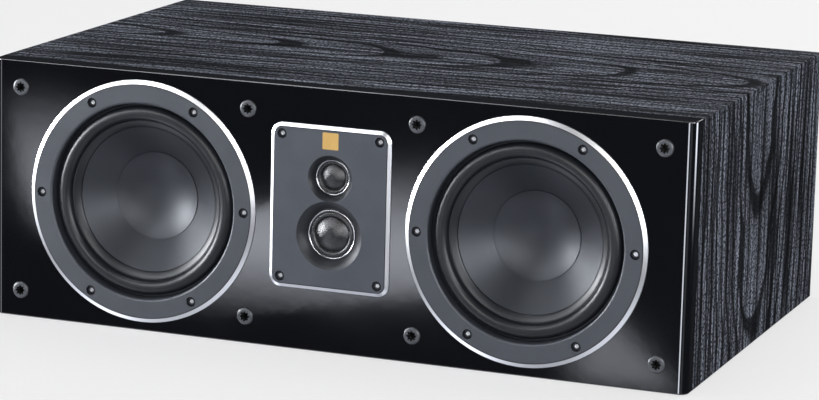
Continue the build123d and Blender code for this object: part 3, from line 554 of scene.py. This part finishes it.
finishes = {
    "veneer": veneer_finish(
        "black_ash_foil", (0.0014, 0.0016, 0.0022), (0.430, 0.464, 0.556), folded=True
    ),
    "gloss_lacquer": lacquer_finish(),
    "back_board": veneer_finish(
        "black_ash_back", (0.002, 0.0022, 0.0028), (0.180, 0.194, 0.230), folded=False
    ),
    "bare_board": board_finish(),
    "socket_plastic": socket_finish(),
    "wool": wool_finish(),
    "port_plastic": plain_finish(
        "port_plastic", (0.008, 0.008, 0.009), (0.018, 0.018, 0.02), (0.38, 0.52), size=0.0012, depth=0.0001
    ),
    "cup_plastic": plain_finish(
        "cup_plastic", (0.009, 0.009, 0.010), (0.02, 0.02, 0.022), (0.36, 0.5), size=0.0014, depth=0.00012
    ),
    "foam": plain_finish(
        "gasket_foam", (0.012, 0.012, 0.012), (0.035, 0.035, 0.035), (0.8, 0.95), size=0.0016, depth=0.0003
    ),
    "black_screw": screw_finish(),
    "plate_satin": plate_finish(),
    "plain_steel": metal_finish("zinc_steel", (0.42, 0.42, 0.43), (0.62, 0.62, 0.63), (0.28, 0.42)),
    "board_laminate": plain_finish(
        "board_laminate", (0.16, 0.10, 0.035), (0.25, 0.165, 0.065), (0.4, 0.55), size=0.0015
    ),
    "copper": wire_finish(),
    "capacitor_sleeve": plain_finish(
        "capacitor_sleeve", (0.012, 0.016, 0.05), (0.022, 0.028, 0.075), (0.22, 0.32)
    ),
    "cement": plain_finish(
        "resistor_cement", (0.55, 0.54, 0.50), (0.74, 0.73, 0.69), (0.75, 0.9), size=0.0013, depth=0.0002
    ),
    "gold_brass": metal_finish("gold_plate", (0.74, 0.50, 0.17), (0.92, 0.68, 0.29), (0.14, 0.26)),
    "black_cap": plain_finish(
        "black_cap_plastic", (0.006, 0.006, 0.007), (0.014, 0.014, 0.015), (0.16, 0.26)
    ),
    "red_cap": plain_finish("red_cap_plastic", (0.36, 0.008, 0.008), (0.50, 0.014, 0.012), (0.16, 0.26)),
    "frame_satin": flange_finish(),
    "surround_rubber": rubber_finish(),
    "cone": cone_finish(),
    "spider_cloth": weave_finish(
        "spider_cloth", (0.25, 0.17, 0.04), (0.55, 0.40, 0.13), pitch=0.0012, rough=(0.7, 0.85)
    ),
    "ferrite": plain_finish(
        "ferrite", (0.02, 0.02, 0.021), (0.045, 0.045, 0.047), (0.5, 0.7), size=0.0015, depth=0.0001
    ),
    "bright_ring": metal_finish("polished_ring", (0.34, 0.34, 0.35), (0.46, 0.46, 0.47), (0.14, 0.24)),
    "dome_cloth": weave_finish(
        "dome_cloth",
        (0.003, 0.0034, 0.0042),
        (0.014, 0.0158, 0.0196),
        pitch=0.00042,
        rough=(0.17, 0.24),
        sheen=0.0,
        IOR=1.6,
    ),
    "neodymium": metal_finish("nickel_plate", (0.52, 0.50, 0.46), (0.68, 0.66, 0.62), (0.16, 0.28)),
}
gold_print = plain_finish(
    "gold_print",
    (0.66, 0.40, 0.10),
    (0.80, 0.51, 0.16),
    (0.34, 0.46),
    size=0.0009,
    depth=0.00002,
    metallic=0.15,
)
for row in frame["record"]["subparts"]:
    mesh = frame["nodes"][row["node"]].data
    mesh.materials.clear()
    mesh.materials.append(finishes[row["material_slot"]])


# Modelled pieces

def open_piece(name, scale=(1.0, 1.0, 1.0)):
    """Names the new primitive, puts its place into its mesh and opens it for shaping, all selected."""
    piece = bpy.context.object
    piece.name = name
    piece.data.name = name
    piece.scale = scale
    bpy.ops.object.transform_apply(location=True, rotation=True, scale=True)
    bpy.ops.object.mode_set(mode="EDIT")
    bpy.ops.mesh.select_all(action="SELECT")
    return piece


def close_piece():
    """Turns every face outwards and leaves edit mode."""
    bpy.ops.mesh.select_all(action="SELECT")
    bpy.ops.mesh.normals_make_consistent(inside=False)
    bpy.ops.object.mode_set(mode="OBJECT")


def turned(name, axis_x, axis_z, profile, segments):
    """Turns a profile of (radius, depth) in millimetres round a driver's axis, ring by ring."""
    merge, crease = 0.00002, math.radians(40)
    bpy.ops.object.select_all(action="DESELECT")
    radius, depth = profile[0]
    bpy.ops.mesh.primitive_circle_add(
        vertices=segments,
        radius=radius * MM,
        location=(axis_x, BAFFLE_Y + depth * MM, axis_z),
        rotation=(math.pi / 2, 0, 0),
    )
    piece = open_piece(name)
    for (r0, d0), (r1, d1) in zip(profile, profile[1:]):
        bpy.ops.mesh.extrude_edges_move(TRANSFORM_OT_translate={"value": (0, (d1 - d0) * MM, 0)})
        bpy.ops.transform.resize(
            value=(r1 / r0, 1, r1 / r0), center_override=(axis_x, BAFFLE_Y + d1 * MM, axis_z)
        )
    bpy.ops.mesh.select_all(action="SELECT")
    bpy.ops.mesh.remove_doubles(threshold=merge)
    close_piece()
    bpy.ops.object.shade_smooth_by_angle(angle=crease)
    return piece


def dress(piece, slot_name, *stands_for):
    """Gives a piece its finish, and hides the CAD nodes that it stands for."""
    piece.data.materials.clear()
    piece.data.materials.append(finishes[slot_name])
    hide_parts(*stands_for)


def arch(outer, inner, height, steps):
    """Points of a half roll from its outer to its inner foot, each a (radius, depth)."""
    points = []
    for index in range(steps + 1):
        turn = math.pi * index / steps
        share = index / steps
        radius = (outer[0] + inner[0]) / 2 + (outer[0] - inner[0]) / 2 * math.cos(turn)
        points.append((radius, outer[1] + (inner[1] - outer[1]) * share - height * math.sin(turn)))
    return points


def ring_radii(rim, rings):
    """Even steps from the axis out to a rim. The first is so small that its ring merges to a pole."""
    pole = 0.004
    return [max(pole, rim * index / rings) for index in range(rings + 1)]


def share_stroke(piece):
    """Puts a ring's place into its mesh and leaves it on no body."""
    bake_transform(piece)


def surround(side, axis_x):
    """Half-roll rubber: flat seat on the ledge, roll, then a lip glued over the cone's edge."""
    outer_foot, inner_foot = (69.3, 6.0), (58.6, 5.2)
    seat = [(71.2, 6.9), (71.2, 6.2), (70.9, 6.0)]
    roll = arch(outer_foot, inner_foot, height=5.1, steps=28)
    lip = [(58.2, 5.75), (57.7, 5.85), (57.2, 5.95), (54.0, 8.25), (53.3, 8.75), (53.0, 9.15), (53.0, 9.9)]
    under_lip = [(58.4, 6.05)]
    under_roll = arch((68.3, 6.9), (59.6, 5.35), height=4.5, steps=20)
    profile = seat + roll + lip + under_lip + under_roll[::-1] + seat[:1]
    piece = turned(f"{side}_surround_roll", axis_x, WOOFER_Z, profile, 192)
    share_stroke(piece)
    dress(piece, "surround_rubber", f"{side}_woofer_surround")


def dust_cap(side, axis_x):
    """Concave cap glued over the middle of the cone."""
    sphere, rim, floor, skin = 61.4, 32.0, 33.59, 0.6
    front = []
    for radius in ring_radii(rim, 24):
        front.append((radius, floor - sphere + math.sqrt(sphere**2 - radius**2)))
    back = [(radius, depth + skin) for radius, depth in reversed(front)]
    piece = turned(f"{side}_concave_cap", axis_x, WOOFER_Z, front + back, 144)
    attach(piece, f"{side}_cone")
    dress(piece, "cone", f"{side}_woofer_dust_cap")


def spider(side, axis_x):
    """Corrugated cloth disc that centres the coil."""
    depth, cloth, wave_height = 44.4, 0.6, 1.0
    rim, outer, inner, neck = 48.2, 41.0, 15.05, 13.05
    half_waves, steps_each = 8, 8
    steps = half_waves * steps_each
    top = [(rim, depth), (outer, depth)]
    for index in range(1, steps):
        share = index / steps
        rise = wave_height * math.sin(share * math.pi * half_waves)
        top.append((outer + (inner - outer) * share, depth - rise))
    top += [(inner, depth), (neck, depth)]
    profile = top + [(r, d + cloth) for r, d in reversed(top)] + top[:1]
    piece = turned(f"{side}_spider_disc", axis_x, WOOFER_Z, profile, 96)
    share_stroke(piece)
    dress(piece, "spider_cloth", f"{side}_woofer_spider")


def soft_dome(node, axis_z, edge, roll_outer, dome, rise):
    """Coated cloth dome with its roll and the coil former behind it."""
    seat, cloth, coil, former, roll_share = 4.8, 0.35, 4.6, 0.4, 0.34
    sphere = (dome**2 + rise**2) / (2 * rise)
    cap = []
    for radius in ring_radii(dome, 20):
        cap.append((radius, seat - rise + sphere - math.sqrt(sphere**2 - radius**2)))
    roll_height = (roll_outer - dome) * roll_share
    roll = arch((roll_outer, seat), (dome + 0.25, seat + 0.1), roll_height, steps=14)
    front = cap + [(dome + 0.1, seat + 0.15)] + roll[::-1] + [(edge, seat)]
    back = [(edge, seat + cloth), (roll_outer, seat + cloth), (dome, seat + cloth + 0.1)]
    back += [(dome, seat + coil), (dome - former, seat + coil), (dome - former, seat + cloth)]
    back += [(r * (dome - 0.5) / dome, d + cloth) for r, d in reversed(cap[:-1])]
    piece = turned(f"{node}_soft_dome", 0.0, axis_z, front + back, 112)
    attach(piece, "cabinet")
    dress(piece, "dome_cloth", f"{node}_dome")


def wool_block(side):
    """Matted block of fibre: crowned sides, lumpy skin, flat where it lies on the floor of the box."""
    slack, round_edge = 0.96, 0.012
    low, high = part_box(f"{side}_wool")
    bpy.ops.object.select_all(action="DESELECT")
    bpy.ops.mesh.primitive_cube_add(size=1.0, location=(low + high) / 2)
    piece = open_piece(f"{side}_wool_block", (high - low) * slack)
    bpy.ops.mesh.bevel(offset=round_edge, segments=3, affect="EDGES")
    bpy.ops.mesh.select_all(action="SELECT")
    bpy.ops.mesh.subdivide(number_cuts=6)
    close_piece()
    lumps = bpy.data.textures.new(f"{side}_wool_lumps", "CLOUDS")
    lumps.noise_scale = 0.03
    skin = piece.modifiers.new("lumps", "DISPLACE")
    skin.texture = lumps
    skin.texture_coords = "LOCAL"
    skin.strength = 0.006
    skin.mid_level = 0.8
    bpy.ops.object.modifier_apply(modifier="lumps")
    for vertex in piece.data.vertices:
        vertex.co.z = max(vertex.co.z, low.z)
    bpy.ops.object.shade_smooth()
    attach(piece, "cabinet")
    dress(piece, "wool", f"{side}_wool")


def bare_badge():
    """Small bare gold tile on the plate over the upper horn, its back sunk into the plate's face."""
    width, centre_z, corner = 0.0120, 0.1529, 0.0007
    proud, sunk, rim, dish = 0.00012, 0.0002, 0.0004, 0.00004
    bpy.ops.object.select_all(action="DESELECT")
    bpy.ops.mesh.primitive_plane_add(
        size=1.0, location=(0, PLATE_FACE_Y + sunk, centre_z), rotation=(math.pi / 2, 0, 0)
    )
    piece = open_piece("bare_gold_tile", (width, width, 1.0))
    bpy.ops.mesh.bevel(offset=corner, segments=4, affect="VERTICES")
    bpy.ops.mesh.select_all(action="SELECT")
    bpy.ops.mesh.extrude_region_move(TRANSFORM_OT_translate={"value": (0, -(proud + sunk), 0)})
    bpy.ops.mesh.inset(thickness=rim, depth=0.0)
    bpy.ops.transform.translate(value=(0, dish, 0))
    close_piece()
    bpy.ops.object.shade_smooth_by_angle(angle=math.radians(20))
    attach(piece, "cabinet")
    piece.data.materials.append(gold_print)


for side, axis_x in (("left", -WOOFER_X), ("right", WOOFER_X)):
    surround(side, axis_x)
    dust_cap(side, axis_x)
    spider(side, axis_x)
    wool_block(side)
soft_dome("tweeter", LOWER_HORN_Z, edge=18.0, roll_outer=16.2, dome=12.7, rise=4.2)
soft_dome("upper_tweeter", UPPER_HORN_Z, edge=13.1, roll_outer=11.3, dome=9.5, rise=3.2)
bare_badge()


# Studio

def studio_floor():
    """Pale floor. Mirror rays pass it, so the lacquer shows the dark room beyond."""
    width, middle, white_share = 16.0, (0, 2.0, -0.0005), 0.6
    bpy.ops.object.select_all(action="DESELECT")
    bpy.ops.mesh.primitive_plane_add(size=width, location=middle)
    floor = bpy.context.object
    floor.name = "studio_floor"
    made, tree, shader = new_finish("pale_floor", roughness=0.9, specular_ior_level=0.1)
    mottle = noise(tree, place(tree), scale=1.5, detail=3.0)
    drive(tree, shader, base_color=tint(tree, mottle, (0.895, 0.895, 0.898), (0.915, 0.915, 0.918)))
    white = put(tree, "ShaderNodeEmission", {"Strength": 1.0}).outputs[0]
    seen = put(tree, "ShaderNodeLightPath").outputs["Is Camera Ray"]
    share = times(tree, seen, white_share)
    lift = put(tree, "ShaderNodeMixShader", {0: share, 1: shader.outputs[0], 2: white})
    tree.links.new(lift.outputs[0], tree.nodes["Material Output"].inputs["Surface"])
    floor.data.materials.append(made)
    floor.visible_glossy = False


def soft_box(name, place_at, aim_at, size, power, roll=0.0, shine=False):
    """A rectangular lamp. A shine lamp is cool and shows only in gloss, it lights no matt surface."""
    lamp = bpy.data.lights.new(name, "AREA")
    lamp.shape = "RECTANGLE"
    lamp.size, lamp.size_y = size
    lamp.energy = power
    made = bpy.data.objects.new(name, lamp)
    bpy.context.scene.collection.objects.link(made)
    made.location = place_at
    away = Vector(place_at) - Vector(aim_at)
    made.rotation_euler = away.to_track_quat("Z", "Y").to_euler()
    made.rotation_euler.rotate_axis("Z", math.radians(roll))
    if shine:
        lamp.color = (0.94, 0.965, 1.0)
        made.visible_diffuse = False
    return made


def studio_air():
    """A dark room with soft glows low in front, laid out by where the lacquer mirrors them.

    across and rise are millimetres on the baffle, as the photograph's camera sees a glow in it. A glow
    that no flat of the baffle mirrors there is given by its direction, as spans of x, y and z.
    """
    world = bpy.data.worlds.new("studio_air")
    bpy.context.scene.world = world
    world.use_nodes = True
    tree = world.node_tree
    at = axes(tree)
    x, y, z = at["X"], at["Y"], at["Z"]
    away = round((BAFFLE_Y - CAMERA_AT[1]) / MM)
    ahead = calc(tree, "MAXIMUM", times(tree, y, -1.0), 0.001)
    across = stack(tree, round(CAMERA_AT[0] / MM), (calc(tree, "DIVIDE", x, ahead), away))
    rise = stack(tree, round(CAMERA_AT[2] / MM), (calc(tree, "DIVIDE", z, ahead), away))

    middle = times(
        tree,
        band(tree, rise, 12.0, 80.0, 78.0, 150.0),
        drop(tree, stack(tree, rise, (across, -0.41)), 120.0, 124.0),
        fade(tree, stack(tree, rise, (across, -0.22)), 32.0, 37.0),
        band(tree, across, -140.0, -120.0, 120.0, 140.0),
    )
    left = times(
        tree,
        band(tree, rise, 55.0, 106.0, 108.0, 178.0),
        fade(tree, stack(tree, across, (rise, 0.21)), -228.0, -212.0),
        drop(tree, across, -190.0, -170.0),
    )
    right = times(
        tree,
        fade(tree, across, 170.0, 200.0),
        drop(tree, stack(tree, rise, (across, 0.9)), 226.0, 246.0),
        fade(tree, rise, -6.0, 14.0),
    )
    below = band(tree, z, -0.93, -0.86, -0.62, -0.42)
    bend_line = times(
        tree,
        band(tree, across, 330.0, 390.0, 880.0, 970.0),
        band(tree, z, -0.295, -0.27, -0.165, -0.14),
    )
    ring_side = times(
        tree,
        band(tree, across, 1250.0, 1700.0, 2300.0, 2900.0),
        drop(tree, z, 0.15, 0.50),
    )
    beside = times(
        tree,
        fade(tree, x, 0.76, 0.82),
        band(tree, y, -0.08, 0.06, 0.36, 0.48),
        band(tree, z, -0.215, -0.178, 0.0, 0.1),
    )
    plate_side = times(
        tree,
        drop(tree, x, -0.86, -0.80),
        band(tree, y, -0.27, -0.19, 0.1, 0.2),
        band(tree, z, -0.45, -0.35, -0.10, 0.0),
    )
    strip = times(
        tree,
        band(tree, x, -0.70, -0.63, -0.54, -0.47),
        drop(tree, y, -0.1, 0.0),
        band(tree, z, -0.92, -0.80, 0.40, 0.58),
    )
    room = 0.038
    level = stack(
        tree,
        room,
        (middle, 3.7),
        (left, 2.6),
        (right, 2.0),
        (below, 1.1),
        (bend_line, 8.5),
        (ring_side, 0.35),
        (beside, 12.0),
        (plate_side, 2.0),
        (strip, 2.2),
    )
    back = tree.nodes["Background"]
    back.inputs["Color"].default_value = (0.86, 0.90, 1.0, 1.0)
    tree.links.new(level, back.inputs["Strength"])


studio_floor()
studio_air()

# Lamps: name, place, point aimed at, width and height, watts
BOX_MIDDLE = (0, 0, 0.1)
BAFFLE_MIDDLE = (0, -0.15, 0.1)
BAFFLE_RIGHT = (0.1, -0.15, 0.1)
soft_box("ceiling", (0.0, 1.0, 4.6), (0, 1.0, 0), (9.0, 9.0), 212).visible_glossy = False
soft_box("top_box", (0.0, 0.1, 1.9), BOX_MIDDLE, (1.9, 1.3), 4)
soft_box("left_box", (-1.58, -0.42, 0.36), BAFFLE_RIGHT, (1.3, 0.66), 46, shine=True)
soft_box("right_box", (1.35, -0.95, 0.48), BAFFLE_MIDDLE, (0.6, 0.86), 20, shine=True)
soft_box("front_box", (-1.15, -1.34, 0.84), BAFFLE_MIDDLE, (1.35, 0.28), 11.5, roll=35.0, shine=True)
soft_box("upper_box", (-0.71, -1.50, 1.33), BAFFLE_MIDDLE, (1.0, 0.34), 6.5, shine=True)
soft_box("ring_box", (0.95, -1.56, 0.30), BAFFLE_RIGHT, (0.40, 0.44), 6.5, shine=True)
soft_box("left_key", (-1.34, -0.77, 0.18), BAFFLE_RIGHT, (0.5, 0.32), 20, shine=True)
soft_box("fill_box", (0.8, -4.6, 1.5), BOX_MIDDLE, (2.2, 1.4), 78)
soft_box("rim_box", (-0.62, -0.62, 1.75), (0, -0.17, 0.19), (0.8, 0.34), 5, shine=True)
soft_box("side_box", (2.4, 0.5, 1.0), (0.2, 0, 0.1), (1.0, 1.0), 7)
soft_box("back_box", (0.9, 2.4, 1.5), (0, 0.1, 0.1), (2.6, 1.5), 18)

camera = bpy.data.cameras.new("photo_camera")
camera.lens = CAMERA_LENS
camera.sensor_width = CAMERA_SENSOR
viewer = bpy.data.objects.new("photo_camera", camera)
viewer.location = CAMERA_AT
viewer.rotation_euler = CAMERA_TURN
bpy.context.scene.collection.objects.link(viewer)
bpy.context.scene.camera = viewer
bpy.context.scene.view_settings.view_transform = "Standard"
